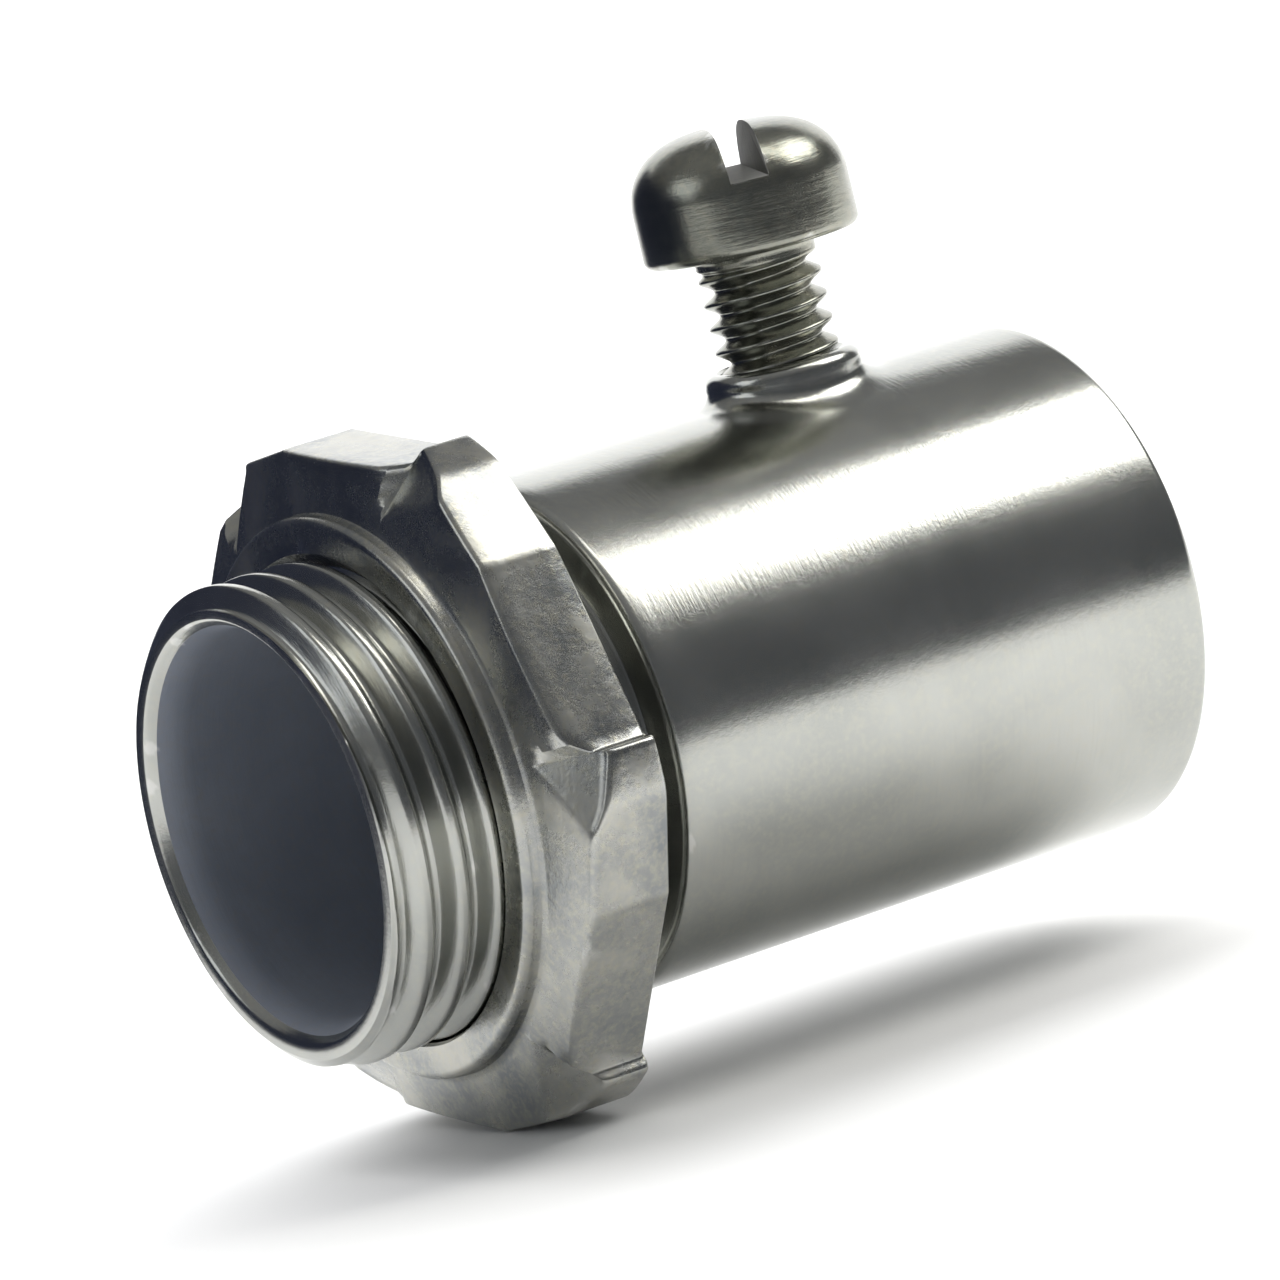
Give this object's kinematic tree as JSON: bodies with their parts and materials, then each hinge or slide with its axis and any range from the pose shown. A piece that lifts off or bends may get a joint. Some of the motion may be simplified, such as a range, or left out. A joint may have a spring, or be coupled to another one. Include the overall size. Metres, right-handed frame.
{
  "type": "conduit set-screw connector",
  "caption": "Steel connector for thin-wall conduit: round socket with a set screw on a drawn collar, threaded nipple and lugged locknut.",
  "frame": {"origin": "on the tube axis, at the shoulder plane that seats on the box wall", "axes": "+X along the tube axis towards the conduit socket's mouth, +Z towards the set screw's head, +Y completes the right-handed frame"},
  "size_m": [0.0415, 0.0322, 0.0384],
  "materials": {
    "body_steel": "bright zinc-plated steel with fine turning lines",
    "locknut_steel": "blue-white zinc-plated stamped steel",
    "screw_steel": "bright zinc-plated steel, slightly darker"
  },
  "bodies": {
    "fitting": {"connector_body": "body_steel"},
    "locknut_travel": {"locknut_hub_ring": "locknut_steel"},
    "locknut": {"locknut": "locknut_steel"},
    "screw_travel": {"set_screw_point": "screw_steel"},
    "set_screw": {"set_screw": "screw_steel"}
  },
  "joints": [
    {"name": "locknut_slide", "type": "slide", "parent": "fitting", "child": "locknut_travel", "axis": [1, 0, 0], "range_m": [-0.0051, 0.0033]},
    {"name": "locknut_turn", "type": "hinge", "parent": "locknut_travel", "child": "locknut", "pos_m": [-0.006, 0, 0], "axis": [1, 0, 0], "range_deg": [-1012, 654.8]},
    {"name": "screw_slide", "type": "slide", "parent": "fitting", "child": "screw_travel", "axis": [0, 0, -1], "range_m": [-0.0015, 0.0041]},
    {"name": "screw_turn", "type": "hinge", "parent": "screw_travel", "child": "set_screw", "pos_m": [0.0165, 0, 0.015], "axis": [0, 0, -1], "range_deg": [-510.2, 1394.6]}
  ],
  "couplings": [
    {"joint": "locknut_slide", "follows": "locknut_turn", "m_per_rad": 0.00028875},
    {"joint": "screw_slide", "follows": "screw_turn", "m_per_rad": 0.00016844}
  ]
}
